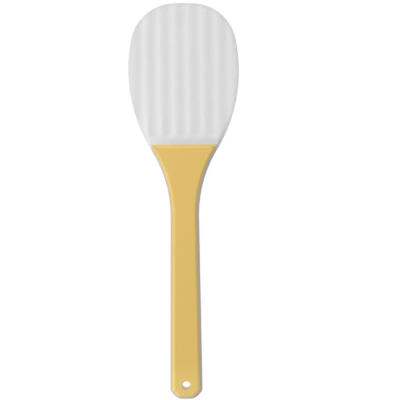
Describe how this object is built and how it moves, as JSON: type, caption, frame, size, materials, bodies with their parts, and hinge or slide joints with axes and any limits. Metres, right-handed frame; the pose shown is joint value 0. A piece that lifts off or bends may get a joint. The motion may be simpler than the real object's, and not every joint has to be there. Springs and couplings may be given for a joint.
{
  "type": "rice paddle",
  "caption": "Flat rice paddle with a fluted white blade, a laminated handle with slanted yellow covers and a hole for a hook.",
  "frame": {"origin": "under the middle of the paddle's length and width, on the surface that the back cover rests on", "axes": "+Y along the handle towards the blade's tip, +X across the width, +Z out of the front face, through the thickness"},
  "size_m": [0.1006, 0.36, 0.01],
  "materials": {
    "white_polyethylene": "satin white polyethylene, milled flutes, finely sawn edges",
    "yellow_polyethylene": "satin ochre yellow polyethylene",
    "pale_wood": "planed, sealed in"
  },
  "bodies": {
    "root": {"blade_plate": "white_polyethylene", "wood_core": "pale_wood", "front_cover": "yellow_polyethylene", "back_cover": "yellow_polyethylene"}
  },
  "joints": []
}
